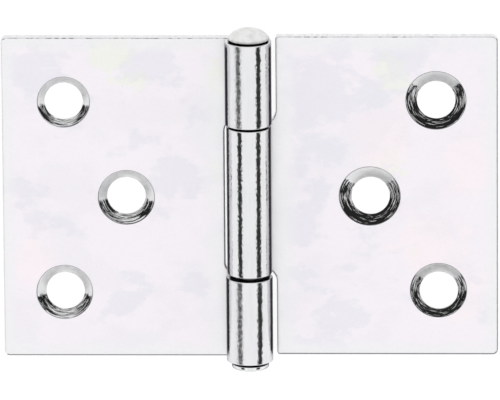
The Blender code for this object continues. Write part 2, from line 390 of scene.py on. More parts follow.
def hole_rings(hole, sink, sink_radius, slope, sizes, seed):
    """Rings of a countersunk hole, from the front face down to the back.

    hole and sink are the centres of the two tools. The hole's wall begins at the
    height thickness - (sink_radius - r) / slope, with r its distance from the
    countersink's own axis, or at the least land where that would be lower. The
    cone runs straight from the rim to that foot, with marks along its height.
    """
    angle = np.arange(HOLE_TURNS) * 2 * math.pi / HOLE_TURNS
    around = np.stack([np.cos(angle), np.sin(angle)], -1)
    wall = hole + sizes.hole_diameter / 2 * around
    rim = sink + sink_radius * around
    top = sizes.thickness
    distance = np.linalg.norm(wall - sink, axis=-1)[:, None]
    foot = np.maximum(top - (sink_radius - distance) / slope, sizes.least_land)

    share = np.linspace(0, 1, CONE_ROWS)[None, :, None]
    cone = rim[:, None] * (1 - share) + wall[:, None] * share
    reach = np.linalg.norm(cone - sink, axis=-1)
    height = top + (foot - top) * share[..., 0]
    fade = np.sin(np.linspace(0, math.pi, CONE_ROWS)) ** 0.5
    height += sizes.tool_marks * fade * marks(angle[:, None], reach, seed)
    height[:, 0] = top - RIM_DROP
    lips = sink + around[:, None] * (sink_radius + LIP)[None, :, None]

    back = np.minimum(sizes.back_rounding, foot / 2)
    cos, sin = arc_steps(0, math.pi / 2, HOLE_BACK_STEPS)
    rest = np.zeros((HOLE_TURNS, len(BACK_LIP)))
    wall_radius = np.concatenate([0 * foot, back * (1 - cos), rest + BACK_LIP], 1)
    wall_height = np.concatenate([foot * WALL_SHARE, back * (1 - sin), rest], 1)
    walls = wall[:, None] + around[:, None] * wall_radius[..., None]

    plane = np.concatenate([lips, cone, walls], 1)
    lip_height = np.broadcast_to(top - LIP_DROP, (HOLE_TURNS, len(LIP)))
    heights = np.concatenate([lip_height, height, wall_height], 1)
    slots = np.full(plane.shape[1] - 1, SINK)
    slots[:len(LIP) - 1] = FACE
    # The rim's rows are painted dark, shade along the countersink's outline
    slots[len(LIP) - 1:len(LIP) + 1] = PAINTED_OUTLINE_SHADE
    slots[-len(BACK_LIP):] = FACE
    return np.concatenate([plane, heights[..., None]], -1), slots


# How the flat faces are triangulated: inside the outline only, with points that
# are this near to each other taken as one
INSIDE_ONLY = 1
SAME_POINT = 1e-9


def fill_flat(surface, loops, plane, bridges, up):
    """Triangles between an outline loop and hole loops, all at one height.

    bridges are index pairs across the tabs, so that each strip of a tab stays a
    flat facet when it is rolled. A hole's loop is round, so a triangle with all
    its corners on one of them lies inside that hole and is left out.
    """
    order = np.concatenate(loops)
    owner = np.repeat(np.arange(len(loops)), [len(loop) for loop in loops])
    edges = [np.stack([loop, np.roll(loop, -1)], -1) for loop in loops]
    edges.append(bridges)
    place = {int(v): i for i, v in enumerate(order)}
    local = [(place[a], place[b]) for a, b in np.concatenate(edges).tolist()]
    points = [Vector(p) for p in plane[order].tolist()]
    out = delaunay_2d_cdt(points, local, [], INSIDE_ONLY, SAME_POINT)
    if len(out[0]) != len(points):
        raise RuntimeError("the flat face's loops cross each other")
    found = np.array(out[2])
    owners = owner[found]
    in_hole = (owners[:, 0] > 0) & (owners == owners[:, :1]).all(1)
    triangles = order[found[~in_hole]]
    corners = plane[triangles]
    side1, side2 = corners[:, 1] - corners[:, 0], corners[:, 2] - corners[:, 0]
    area = side1[:, 0] * side2[:, 1] - side1[:, 1] * side2[:, 0]
    wrong = (area > 0) != up
    triangles[wrong] = triangles[wrong][:, ::-1]
    slots = np.where(corners[..., 0].mean(1) < 0, KNUCKLE, FACE)
    surface.add_triangles(triangles, plane[triangles] / MM * SHEET_UV, slots)


def roll_up(points, side, oval, sizes):
    """Bend what reaches past the pin's axis up and over the pin.

    angle = reach past the axis / neutral radius; radius = barrel radius - z;
    then x = -radius sin(angle) and z = barrel radius - radius cos(angle). oval
    holds how much wider the barrel is on the seam's side and on the other.
    """
    neutral = BARREL_RADIUS - sizes.thickness / 2
    past = np.maximum(-points[:, 0], 0)
    angle = past / neutral
    radius = BARREL_RADIUS - points[:, 2]
    rolled = points.copy()
    across = -radius * np.sin(angle)
    across *= np.where(across > 0, oval[0], oval[1])
    rolled[:, 0] = side * np.where(past > 0, across, points[:, 0])
    rolled[:, 2] = BARREL_RADIUS - radius * np.cos(angle)
    return rolled


# The centre knuckle's length and the left leaf's notch along the pin, each from
# its leaf's middle, and how much nearer the pin the left leaf's free edge lies
CENTRE_KNUCKLE = 23.0 * MM
NOTCH = (12.0 * MM, -11.88 * MM)
LEFT_SHORTER = 0.12 * MM

# What differs from leaf to leaf. side is the leaf's sign of x, middle its centre
# in y, and reach the free edge's distance from the pin. relief is the gap from
# the barrel to the notches' floors, and slope is how much a countersink's radius
# grows for each millimetre of height. oval is how much wider than round the
# knuckles are on the seam's side and on the other. rub and flank are the rub and
# width that zinc_knuckle explains, where flank is the start of its painted shade.
# turned_sink explains painted_shade_start and painted_streaks, which place its
# painted dark reflection and light streaks, and grime. A hole, in millimetres, is
# (from the free edge, from the leaf's middle, countersink radius, countersink's
# offset in x and in y).
LEAVES = {
    "left_leaf": {
        "side": -1, "middle": LEFT_MIDDLE, "reach": LEAF_REACH - LEFT_SHORTER,
        "end_tabs": True, "relief": 0.34 * MM, "root_fillet": 1.6 * MM, "slope": 1.19,
        "oval": (1.065, 1.03), "rub": 0.13, "flank": 3.04 * MM,
        "painted_shade_start": (0.10, 0.24), "painted_streaks": (0.60, 0.97, 0.60, 0.48), "grime": 0.45,
        "seed": 11,
        "holes": [(9.35, 14.76, 3.96, 0.00, 0.14), (18.64, -0.09, 4.27, -0.03, 0.07),
                  (9.31, -15.05, 4.24, 0.09, 0.14)]},
    "right_leaf": {
        "side": 1, "middle": RIGHT_MIDDLE, "reach": LEAF_REACH,
        "end_tabs": False, "relief": 0.66 * MM, "root_fillet": 1.9 * MM, "slope": 1.08,
        "oval": (1.0, 1.01), "rub": 0.0, "flank": 2.93 * MM,
        "painted_shade_start": (-0.63, -0.56), "painted_streaks": (-0.10, 0.55, 0.54, 0.625), "grime": 0.12,
        "seed": 23,
        "holes": [(9.26, 14.70, 4.55, -0.02, 0.28), (19.16, -0.30, 4.63, -0.11, 0.30),
                  (8.93, -15.21, 4.28, -0.03, 0.41)]},
}

# Radii of a blank's corners at the leaf's ends and at the tips of its tabs
END_CORNER = 0.8 * MM
TIP_CORNER = 0.5 * MM


def leaf_corners(leaf, tab_length):
    """Corners of a blank as (out from the axis, along the pin, radius)."""
    root = BARREL_RADIUS + leaf["relief"]
    above, below = [], []
    for corners, inner in zip((above, below), knuckle_ends(leaf)):
        outside = math.copysign(HALF_HEIGHT, inner)
        fillet = (root, inner, leaf["root_fillet"])
        tip = (-tab_length, inner, TIP_CORNER)
        corners.append((leaf["reach"], outside, END_CORNER))
        if leaf["end_tabs"]:
            corners += [(-tab_length, outside, TIP_CORNER), tip, fillet]
        else:
            corners += [(root, outside, TIP_CORNER), fillet, tip]
    return above + below[::-1]


def knuckle_ends(leaf):
    """Ends of the notch or of the centre knuckle, from the leaf's middle."""
    return NOTCH if leaf["end_tabs"] else (CENTRE_KNUCKLE / 2, -CENTRE_KNUCKLE / 2)


# What tumbling adds to the front edge's radius on the sides that faced down, the
# share of it on those that faced +X, and the waves of the radius along the edge
TUMBLED = 0.05 * MM
TUMBLED_OUT = 0.5
WAVE_HEIGHT = 0.012 * MM
WAVE_PITCHES = np.array([0.9, 1.7, 3.1, 6.0]) * MM


def front_radii(outline, normals, sizes, seed):
    """Radius of the rounded front edge at each point of the outline.

    It is larger on the sides that faced down in the tumbling drum, and waves
    along the outline by a sum of sines of its length.
    """
    rng = np.random.default_rng(seed)
    steps = np.linalg.norm(np.diff(outline, axis=0, append=outline[:1]), axis=1)
    length = np.cumsum(steps)
    wave = np.zeros(len(outline))
    for pitch in WAVE_PITCHES:
        wave += np.sin(2 * math.pi * length / pitch + rng.uniform(0, 2 * math.pi))
    facing_down = np.clip(-normals[:, 1], 0, 1) + TUMBLED_OUT * np.clip(normals[:, 0], 0, 1)
    return sizes.edge_rounding + TUMBLED * facing_down + WAVE_HEIGHT * wave


# Stations along a tab, where its sides have points, and how far apart in v the
# countersinks lie on the UV map
TAB_STATIONS = 97
HOLE_UV_STEP = 3


def leaf_surface(leaf, sizes):
    """The whole leaf as one closed surface, rolled and in its place.

    A tab's length is its neutral radius times its angle, which is three quarters
    of a turn and asin((bore - seam gap) / barrel radius), up to the seam.
    """
    bore = BARREL_RADIUS - sizes.thickness
    seam = math.asin((bore - sizes.seam_gap) / BARREL_RADIUS)
    tab_length = (bore + sizes.thickness / 2) * (1.5 * math.pi + seam)
    stations = -np.linspace(0, tab_length, TAB_STATIONS)
    corners = leaf_corners(leaf, tab_length)
    outline, normals = blank_outline(corners, stations)
    inset, height = edge_profile(front_radii(outline, normals, sizes, leaf["seed"]), sizes)
    plane = outline[:, None] - normals[:, None] * inset[..., None]
    strip = np.concatenate([plane, height[..., None]], -1)

    surface = Surface()
    index = surface.add_points(strip)
    length = np.cumsum(np.linalg.norm(np.roll(outline, -1, 0) - outline, axis=1))
    length = np.concatenate([[0], length])
    across = np.cumsum(np.hypot(np.diff(inset[0]), np.diff(height[0])))
    across = np.concatenate([[0], across])
    uv = np.stack(np.broadcast_arrays(length[:, None], across[None, :]), -1) / MM * SHEET_UV
    on_tab = (outline[:, 0] < 0) & (np.roll(outline[:, 0], -1) < 0)
    bright = (leaf["side"] < 0) & (normals[:, 0] > 0.5)
    shaded = (leaf["side"] < 0) & (normals[:, 0] < -0.5)
    slots = edge_slots(index.shape[1] - 1, on_tab, normals, bright, shaded)
    surface.add_grid(index, uv, slots)

    front, back = [index[:, 0]], [index[:, -1]]
    for number, (edge, b, sink_radius, shift_a, shift_b) in enumerate(leaf["holes"]):
        hole = np.array([leaf["reach"] - edge * MM, b * MM])
        sink = hole + np.array([shift_a, shift_b]) * MM
        rings, ring_slots = hole_rings(hole, sink, sink_radius * MM, leaf["slope"], sizes,
                                       leaf["seed"] + number)
        ring_index = surface.add_points(rings)
        turn = np.linspace(0, 1, len(rings) + 1)
        run = np.linspace(0, 1, rings.shape[1]) + HOLE_UV_STEP * number
        ring_uv = np.stack(np.broadcast_arrays(turn[:, None], run[None, :]), -1)
        surface.add_grid(ring_index, ring_uv, ring_slots, flip=True)
        front.append(ring_index[:, 0])
        back.append(ring_index[:, -1])

    every = np.concatenate(surface.points)
    bridges = [tab_bridges(outline, index[:, k], stations, leaf) for k in (0, -1)]
    fill_flat(surface, front, every[:, :2], bridges[0], True)
    fill_flat(surface, back, every[:, :2], bridges[1], False)

    placed = roll_up(every, leaf["side"], leaf["oval"], sizes)
    placed[:, 1] += leaf["middle"]
    surface.points = [placed]
    if leaf["side"] < 0:
        surface.turn_over()
    return surface


# How near to a station or to a tab's side a point counts as on it, and how far
# before the pin's axis a tab may begin
ON_LINE = 1e-7
TAB_START = 0.01 * MM


def tab_bridges(outline, loop, stations, leaf):
    """Index pairs that join the two sides of each tab at every station."""
    upper, lower = knuckle_ends(leaf)
    sides = [(HALF_HEIGHT, upper), (lower, -HALF_HEIGHT)] if leaf["end_tabs"] else [(upper, lower)]
    at_station = np.abs(outline[:, :1] - stations[None]).min(1) < ON_LINE
    pairs = []
    for one, other in sides:
        ends = []
        for b in (one, other):
            found = np.flatnonzero(at_station & (np.abs(outline[:, 1] - b) < ON_LINE)
                                   & (outline[:, 0] < TAB_START))
            ends.append(found[np.argsort(outline[found, 0])])
        pairs.append(np.stack([loop[ends[0]], loop[ends[1]]], -1))
    return np.concatenate(pairs)


# Points round the pin, and steps of its dome, both rims and the tail's corner
PIN_TURNS = 96
DOME_STEPS = 22
HEAD_RIM_STEPS = 4
TAIL_RIM_STEPS = 3
TAIL_CORNER_STEPS = 8

# How high the dome's foot lies above its seat, the rounding of both rims, the
# tail's corner and the seats' chamfers, then the tail's gap as a share of the
# head's and the radius of its flat as a share of its own
DOME_FOOT = 0.1 * MM
RIM = 0.08 * MM
TAIL_CORNER = 0.35 * MM
CHAMFER = 0.05 * MM
TAIL_GAP = 1.4
TAIL_FLAT = 0.5


def rounding(radius, y, size, start, steps):
    """Quarter circle about (radius, y) that runs clockwise from the angle start."""
    cos, sin = arc_steps(start, start - math.pi / 2, steps)
    return np.stack([radius + size * cos, y + size * sin], -1)


def pin_surface(sizes):
    """The pin turned about its axis, with the wear of its forming die on the head.

    A profile (radius, y) is carried round: x = radius cos t, z = radius sin t.
    The dome is part of an ellipse about a point under its seat. The whole head
    is moved along x by its offset.
    """
    head_radius = (PIN_HIGH.x - PIN_LOW.x) / 2 - sizes.head_trim
    shank, tail_radius = sizes.shank_diameter / 2, sizes.tail_diameter / 2
    head_end, tail_end = PIN_HIGH.y, PIN_LOW.y
    head_seat = LEFT_HIGH.y + sizes.seat_gap
    tail_seat = LEFT_LOW.y - TAIL_GAP * sizes.seat_gap
    centre = head_seat - sizes.dome_undercut
    height = head_end - centre
    foot = math.asin((sizes.dome_undercut + DOME_FOOT) / height)
    cos, sin = arc_steps(math.pi / 2, foot, DOME_STEPS)
    dome = np.stack([head_radius * cos / math.cos(foot), centre + height * sin], -1)
    dome[0, 0] = 0.0
    under = rounding(head_radius - RIM, head_seat + RIM, RIM, 0, HEAD_RIM_STEPS)
    seats = np.array([[shank + CHAMFER, head_seat], [shank, head_seat - CHAMFER],
                      [shank, tail_seat + CHAMFER], [shank + CHAMFER, tail_seat]])
    tail_top = rounding(tail_radius - RIM, tail_seat - RIM, RIM, math.pi / 2, TAIL_RIM_STEPS)
    tail = rounding(tail_radius - TAIL_CORNER, tail_end + TAIL_CORNER, TAIL_CORNER, 0,
                    TAIL_CORNER_STEPS)
    flat = np.array([[tail_radius * TAIL_FLAT, tail_end], [0.0, tail_end]])
    profile = np.concatenate([dome, under, seats, tail_top, tail, flat])

    angle = np.arange(PIN_TURNS) * 2 * math.pi / PIN_TURNS
    radius, along = profile[None, 1:-1, 0], profile[None, 1:-1, 1]
    in_head = np.arange(1, len(profile) - 1) < len(dome) + len(under)
    points = np.stack([radius * np.cos(angle)[:, None] + sizes.head_offset * in_head,
                       np.broadcast_to(along, (PIN_TURNS, along.shape[1])),
                       BARREL_RADIUS + radius * np.sin(angle)[:, None]], -1)
    surface = Surface()
    index = surface.add_points(points)
    run = np.concatenate([[0], np.cumsum(np.linalg.norm(np.diff(profile[1:-1], axis=0), axis=1))])
    turn = np.linspace(0, 1, PIN_TURNS + 1)
    uv = np.stack(np.broadcast_arrays(turn[:, None], run[None, :] / MM * PIN_UV), -1)
    head_rows = len(dome) + len(under) - 2
    dark_rows = head_rows + len(seats) + len(tail_top) - 1
    row = np.arange(points.shape[1] - 1)
    surface.add_grid(index, uv, np.where(row < head_rows, HEAD,
                                         np.where(row < dark_rows, SHANK, TAIL)))
    for row, x, y, order, slot in ((0, sizes.head_offset, head_end, 1, HEAD),
                                   (-1, 0.0, tail_end, -1, TAIL)):
        pole = surface.add_points(np.array([[x, y, BARREL_RADIUS]]))[0]
        here = index[:, row]
        fan = np.stack([np.full(PIN_TURNS, pole), here, np.roll(here, -1)], -1)[:, ::order]
        surface.add_triangles(fan, np.full((PIN_TURNS, 3, 2), 0.5), np.full(PIN_TURNS, slot))
    return surface


class Shader:
    """A material's or world's node tree, with short calls for the nodes used here."""

    def __init__(self, owner):
        owner.use_nodes = True
        self.owner = owner
        self.tree = owner.node_tree
        self.tree.nodes.clear()
        self.links = self.tree.links

    def node(self, kind, settings=None, inputs=None):
        node = self.tree.nodes.new(kind)
        for key, value in (settings or {}).items():
            setattr(node, key, value)
        for key, value in (inputs or {}).items():
            self.feed(node.inputs[key], value)
        return node

    def feed(self, socket, value):
        """Link a socket to the input, or set the input to a value or a colour."""
        if isinstance(value, bpy.types.NodeSocket):
            self.links.new(value, socket)
        elif socket.type == "RGBA":
            socket.default_value = (*value[:3], 1.0)
        else:
            socket.default_value = value

    def place(self):
        return self.node("ShaderNodeTexCoord").outputs["Object"]

    def split(self, vector):
        return self.node("ShaderNodeSeparateXYZ", {}, {0: vector}).outputs

    def math(self, operation, *values):
        return self.node("ShaderNodeMath", {"operation": operation},
                         dict(enumerate(values))).outputs[0]

    def range(self, value, low, high, to_low=0.0, to_high=1.0, smooth=True):
        kind = "SMOOTHSTEP" if smooth else "LINEAR"
        return self.node("ShaderNodeMapRange", {"interpolation_type": kind, "clamp": True}, {
            "Value": value, "From Min": low, "From Max": high, "To Min": to_low,
            "To Max": to_high}).outputs[0]

    def window(self, value, start, full, fading, end):
        """Rise from start to full, then fall from fading to end."""
        return self.math("MULTIPLY", self.range(value, start, full),
                         self.range(value, end, fading))

    def mix(self, share, one, other):
        return self.node("ShaderNodeMix", {"data_type": "RGBA"},
                         {0: share, 6: one, 7: other}).outputs[2]

    def noise(self, vector, scale, detail=2.0, rough=0.5):
        return self.node("ShaderNodeTexNoise", {}, {
            "Vector": vector, "Scale": scale, "Detail": detail, "Roughness": rough}).outputs[0]

    def stretch(self, vector, scale, shift=(0, 0, 0)):
        return self.node("ShaderNodeMapping", {}, {
            "Vector": vector, "Scale": scale, "Location": shift}).outputs[0]

    def bump(self, height, distance, strength):
        return self.node("ShaderNodeBump", {}, {
            "Height": height, "Distance": distance, "Strength": strength}).outputs[0]

    def finish_metal(self, colour, roughness, normal, metallic=1.0, tint=None):
        """Put the values on a metal's surface and return its material."""
        shader = self.node("ShaderNodeBsdfPrincipled", {}, {
            "Metallic": metallic, "Base Color": colour, "Roughness": roughness,
            "Normal": normal})
        if tint is not None:
            self.feed(shader.inputs["Specular Tint"], tint)
        self.node("ShaderNodeOutputMaterial", {}, {0: shader.outputs[0]})
        return self.owner


# Colours of the finishes, beside those that the panel sets. A glance is the tint
# of a metal's reflection at a grazing angle.
GRAIN_GREY = (0.62, 0.62, 0.66)
DRAWN_GREY = (0.62, 0.62, 0.65)
# Painted near-black shade along the knuckles' outline
KNUCKLE_OUTLINE_SHADE = (0.04, 0.04, 0.045)
CONE_ZINC = (0.80, 0.80, 0.81)
CONE_GRIME = (0.4, 0.4, 0.4)
# Painted dark reflection in the countersinks, on the side away from the head
SINK_REFLECTION_DARK = (0.02, 0.02, 0.02)
# Painted light streaks in that dark reflection
SINK_STREAK_HIGHLIGHT = (0.78, 0.78, 0.79)
# Dark chips, which also paint dots of shade into the edges' dark lines
CHIP_AND_SHADE_DOTS = (0.06, 0.06, 0.06)
# Painted white highlight on the knuckles' ends
PAINTED_END_HIGHLIGHT = (0.95, 0.95, 0.95)
SEAT_SHADE = (0.3, 0.3, 0.3)
KNUCKLE_GLANCE = (0.55, 0.55, 0.55)
NO_GLANCE = (0.0, 0.0, 0.0)

# Where the film's tint is strongest, in millimetres on the leaves, with the
# spot's radius and which tint it has. Cloudy spots draw more blue-grey blots.
FILM_SPOTS = [
    ((-20.0, 21.5), 4.0, "straw"), ((-18.5, 17.5), 3.2, "straw"), ((-4.6, 17.0), 2.4, "straw"),
    ((-4.6, 11.0), 2.4, "straw"), ((-4.2, 4.0), 2.0, "straw"), ((21.6, 19.5), 2.4, "straw"),
    ((24.9, -8.5), 1.5, "straw"), ((21.5, 4.5), 1.2, "straw"),
    ((20.5, 9.0), 5.5, "rose"), ((27.0, -8.0), 6.5, "rose"), ((34.0, 5.0), 5.5, "rose"),
    ((33.0, -15.0), 5.5, "rose"), ((-33.0, -10.0), 4.5, "rose"),
    ((10.5, 17.0), 12.0, "cloudy"), ((10.0, 6.0), 7.0, "cloudy"), ((24.0, 22.0), 8.0, "cloudy"),
    ((18.0, 15.0), 6.0, "cloudy"), ((-14.0, 21.0), 7.0, "cloudy"), ((-33.0, 20.0), 7.0, "cloudy"),
    ((-10.0, 2.0), 8.0, "cloudy"), ((-35.0, 0.0), 6.0, "cloudy"), ((-20.0, -17.0), 6.0, "cloudy"),
    ((-8.0, -14.0), 5.0, "cloudy"), ((6.0, -6.0), 5.0, "cloudy"), ((12.0, -20.0), 9.0, "cloudy"),
]

# How far the edge of a spot strays and how much of its tint shows, which noise
# draws a blue-grey blot, and how far a cloudy spot lowers that limit
SPOT_STRAY = 3.0 * MM
SPOT_DEPTH = 0.7
BLOT_LIMIT = 0.60
CLOUDY_SHIFT = -0.20
BLOT_STRETCH = (0.8, 1.1, 1.0)

# Where the film thins out to bare zinc: from the leaves' middle along the pin,
# then from the pin toward the free edges and toward the barrel
FILM_END_ALONG = (22.0 * MM, 24.5 * MM)
FILM_END_ACROSS = (34.5 * MM, 37.0 * MM)
FILM_END_BARREL = (8.0 * MM, 4.5 * MM)


def zinc_face(finish):
    """Bright zinc on the flat faces: a cloudy pastel film over fine grain."""
    s = Shader(bpy.data.materials.new("zinc_face"))
    place = s.place()
    x, y, _ = s.split(place)
    edge = s.noise(place, 230.0, 4.0, 0.6)
    stray = s.range(edge, 0.3, 0.7, -SPOT_STRAY, SPOT_STRAY, False)
    blots = s.noise(s.stretch(place, BLOT_STRETCH), 190.0, 5.0, 0.6)
    haze = s.noise(s.stretch(place, BLOT_STRETCH, (0.1, 0.0, 0.0)), 110.0, 5.0, 0.6)
    colour, limit = finish.lavender, BLOT_LIMIT
    for (across, along), radius, tint in FILM_SPOTS:
        dx = s.math("SUBTRACT", x, across * MM)
        dy = s.math("SUBTRACT", y, along * MM)
        far = s.math("SQRT", s.math("ADD", s.math("MULTIPLY", dx, dx),
                                    s.math("MULTIPLY", dy, dy)))
        if tint == "cloudy":
            near = s.range(far, radius * MM, 0.0)
            limit = s.math("MULTIPLY_ADD", near, CLOUDY_SHIFT, limit)
            continue
        far = s.math("ADD", far, stray)
        share = s.range(far, radius * MM, radius * 0.5 * MM, 0.0, SPOT_DEPTH)
        colour = s.mix(share, colour, finish.straw if tint == "straw" else finish.rose)
    colour = s.mix(s.range(haze, 0.46, 0.62, 0.0, 0.22), colour, finish.cloud)
    colour = s.mix(s.range(s.math("SUBTRACT", blots, limit), -0.04, 0.06, 0.0, 0.42), colour,
                   finish.cloud)
    from_pin = s.math("ABSOLUTE", x)
    from_middle = s.math("ABSOLUTE", s.math("SUBTRACT", y, LEFT_MIDDLE))
    bare = s.math("MAXIMUM", s.range(from_middle, *FILM_END_ALONG),
                  s.range(from_pin, *FILM_END_ACROSS))
    bare = s.math("MAXIMUM", bare, s.range(from_pin, *FILM_END_BARREL))
    bare = s.math("MULTIPLY", bare, s.range(edge, 0.35, 0.55, 0.4, 0.9))
    colour = s.mix(bare, colour, finish.zinc)
    grain = s.noise(place, 2600.0, 3.0, 0.6)
    colour = s.mix(s.range(grain, 0.35, 0.75, 0.0, 0.08), colour, GRAIN_GREY)
    rough = s.range(s.noise(place, 300.0, 3.0, 0.6), 0.3, 0.7,
                    finish.face_roughness - 0.04, finish.face_roughness + 0.05)
    metallic = s.range(from_pin, 12.0 * MM, 4.0 * MM, 0.7, 0.95)
    return s.finish_metal(colour, rough, s.bump(grain, 0.004 * MM, 0.5), metallic)


# How sharply the painted dark shade on a knuckle's flank begins and how ragged
# that line is, between which heights it starts, and where it fades at the tail
# and at the head
FLANK_RAMP = 0.10 * MM
FLANK_RAGGED = 0.04 * MM
FLANK_FOOT = (BARREL_RADIUS - 0.2 * MM, BARREL_RADIUS + 0.2 * MM)
FLANK_ENDS = (LEFT_LOW.y + 0.6 * MM, LEFT_LOW.y + 2.2 * MM,
              LEFT_HIGH.y - 0.9 * MM, LEFT_HIGH.y - 0.3 * MM)

# Where the rub on the flank toward -X begins and is whole
RUB_SIDE = (-0.6 * MM, -1.4 * MM)


def zinc_knuckle(finish, name, rub, width):
    """Zinc on the rolled knuckles, smoother, with draw lines and crazing from the bend.

    rub is how much rougher the flank toward -X is. The flanks above the pin's
    height are painted near black from the distance width on, painted shade that
    draws the dark line along the barrel's outline.
    """
    s = Shader(bpy.data.materials.new(name))
    place = s.place()
    x, y, z = s.split(place)
    grain = s.noise(place, 2600.0, 1.0, 0.5)
    drawn = s.noise(s.stretch(place, (1.0, 0.12, 1.0)), 1500.0, 3.0, 0.6)
    zinc = [0.93 * c for c in finish.zinc]
    colour = s.mix(s.range(drawn, 0.3, 0.8, 0.0, 0.25), zinc, DRAWN_GREY)
    # Painted shade: the flanks above the pin's height turn near black, the dark line along the
    # barrel's outline
    flank = s.math("ADD", s.math("ABSOLUTE", x),
                   s.range(grain, 0.3, 0.7, -FLANK_RAGGED, FLANK_RAGGED))
    flank = s.math("MULTIPLY", s.range(flank, width, width + FLANK_RAMP),
                   s.range(z, *FLANK_FOOT))
    flank = s.math("MULTIPLY", flank, s.window(y, *FLANK_ENDS))
    colour = s.mix(flank, colour, KNUCKLE_OUTLINE_SHADE)
    rough = s.range(grain, 0.3, 0.7, finish.knuckle_roughness - 0.03,
                    finish.knuckle_roughness + 0.06)
    rough = s.math("ADD", rough, s.range(x, *RUB_SIDE, 0.0, rub))
    return s.finish_metal(colour, rough, s.bump(grain, 0.03 * MM, 0.8), tint=KNUCKLE_GLANCE)


def turned_sink(name, grime, painted_shade_start, painted_streaks):
    """Plated countersink with chatter marks in arcs round the hole.

    u runs round the hole and v down the cone. On the side away from the head the
    cone is painted dark, a painted dark reflection, between painted light streaks.
    low is the cosine of the angle from that side. The painted dark begins between
    the two values of painted_shade_start, and painted_streaks holds the start and
    end of low with the noise's threshold at either. grime is the share of dirt in
    the marks elsewhere.
    """
    s = Shader(bpy.data.materials.new(name))
    u, v, _ = s.split(s.node("ShaderNodeUVMap", {"uv_map": "sheet"}).outputs[0])
    turn = s.math("MULTIPLY", u, 2 * math.pi)
    cos, sin = s.math("COSINE", turn), s.math("SINE", turn)

    def streaks(around, down, shift):
        vector = s.node("ShaderNodeCombineXYZ", {}, {
            0: s.math("MULTIPLY", cos, around), 1: s.math("MULTIPLY", sin, around),
            2: s.math("MULTIPLY_ADD", v, down, shift)}).outputs[0]
        return s.noise(vector, 1.0, 2.0, 0.6)

    chatter = streaks(5.0, 12.0, 0.0)
    arcs = streaks(1.8, 26.0, 7.0)
    blots = streaks(5.0, 5.0, 3.0)
    plated = s.mix(s.range(chatter, 0.50, 0.75, 0.0, grime), CONE_ZINC, CONE_GRIME)
    low = s.math("MULTIPLY", sin, -1.0)
    loose = s.math("ADD", low, s.range(blots, 0.3, 0.7, -0.07, 0.07, False))
    # Painted reflection: the side away from the head turns dark, between painted light streaks
    painted_dark = s.range(loose, *painted_shade_start)
    painted_streak = s.range(s.math("SUBTRACT", arcs, s.range(low, *painted_streaks)), -0.005, 0.008)
    colour = s.mix(painted_dark, plated, s.mix(painted_streak, SINK_REFLECTION_DARK, SINK_STREAK_HIGHLIGHT))
    metallic = s.math("MULTIPLY_ADD", painted_dark, 0.45, 0.45)
    metallic = s.math("MULTIPLY_ADD", s.math("MULTIPLY", painted_dark, painted_streak), -0.7, metallic)
    rough = s.math("ADD", s.range(blots, 0.3, 0.7, 0.12, 0.24), s.math("MULTIPLY", painted_dark, 0.15))
    depth = s.math("MULTIPLY", chatter, s.math("MULTIPLY_ADD", painted_dark, 0.7, 0.3))
    return s.finish_metal(colour, rough, s.bump(depth, 0.012 * MM, 0.8), metallic)


def sheared_edge(name, colour, tint=None, metallic=1.0, chips=None, painted_highlight_band=None):
    """Cut edge of the sheet: burnished above, broken and duller below.

    chips is the noise's range in which the arris turns from bright to dark chips,
    and painted_highlight_band is the range of |x| in which the knuckles' ends are
    painted white as a highlight.
    """
    s = Shader(bpy.data.materials.new(name))
    place = s.place()
    streaks = s.noise(s.stretch(place, (1.0, 1.0, 0.1)), 2400.0, 3.0, 0.6)
    colour = s.mix(s.range(streaks, 0.3, 0.7, 0.0, 0.5), colour, [0.7 * c for c in colour])
    if chips:
        blots = s.math("MULTIPLY", s.range(s.noise(place, 1700.0, 3.0, 0.6), *chips),
                       s.range(s.noise(place, 160.0), 0.40, 0.60, 0.25, 1.0))
        colour = s.mix(blots, colour, CHIP_AND_SHADE_DOTS)
    # Painted highlight: the knuckles' ends turn white toward the flanks
    if painted_highlight_band:
        flank = s.range(s.math("ABSOLUTE", s.split(place)[0]), *painted_highlight_band)
        colour = s.mix(flank, colour, PAINTED_END_HIGHLIGHT)
        metallic = s.math("MULTIPLY_ADD", flank, -0.95 * metallic, metallic)
    rough = s.range(streaks, 0.3, 0.7, 0.22, 0.4)
    return s.finish_metal(colour, rough, s.bump(streaks, 0.01 * MM, 0.5), metallic, tint)


# Heights along the pin between which the head is shaded toward its seat
SEAT_SHADE_RANGE = (LEFT_HIGH.y + 0.75 * MM, LEFT_HIGH.y + 0.35 * MM)


def pin_head(name, colour):
    """Formed head of the pin: matte, mottled where the die crushed the plating."""
    s = Shader(bpy.data.materials.new(name))
    place = s.place()
    mottle = s.noise(place, 900.0, 4.0, 0.6)
    low = s.range(s.split(place)[1], *SEAT_SHADE_RANGE)
    colour = s.mix(s.range(mottle, 0.42, 0.7), colour, [0.86 * c for c in colour])
    colour = s.mix(s.math("MULTIPLY", low, s.range(mottle, 0.3, 0.6, 0.3, 0.8)), colour,
                   SEAT_SHADE)
    rough = s.range(mottle, 0.3, 0.7, 0.5, 0.7)
    return s.finish_metal(colour, rough, s.bump(mottle, 0.03 * MM, 0.6), 0.0)


def pin_shank(name, colour, tint=None):
    """Drawn wire of the shank or the peened tail."""
    s = Shader(bpy.data.materials.new(name))
    lines = s.noise(s.stretch(s.place(), (1.0, 0.1, 1.0)), 1800.0, 3.0, 0.6)
    colour = s.mix(s.range(lines, 0.3, 0.7, 0.0, 0.4), colour, [0.75 * c for c in colour])
    rough = s.range(lines, 0.3, 0.7, 0.10, 0.18)
    return s.finish_metal(colour, rough, s.bump(lines, 0.006 * MM, 0.5), tint=tint)


# Range of |x| in which the knuckles' ends turn from painted shade to a painted white highlight
END_HIGHLIGHT_FLANK = (2.85 * MM, 3.2 * MM)


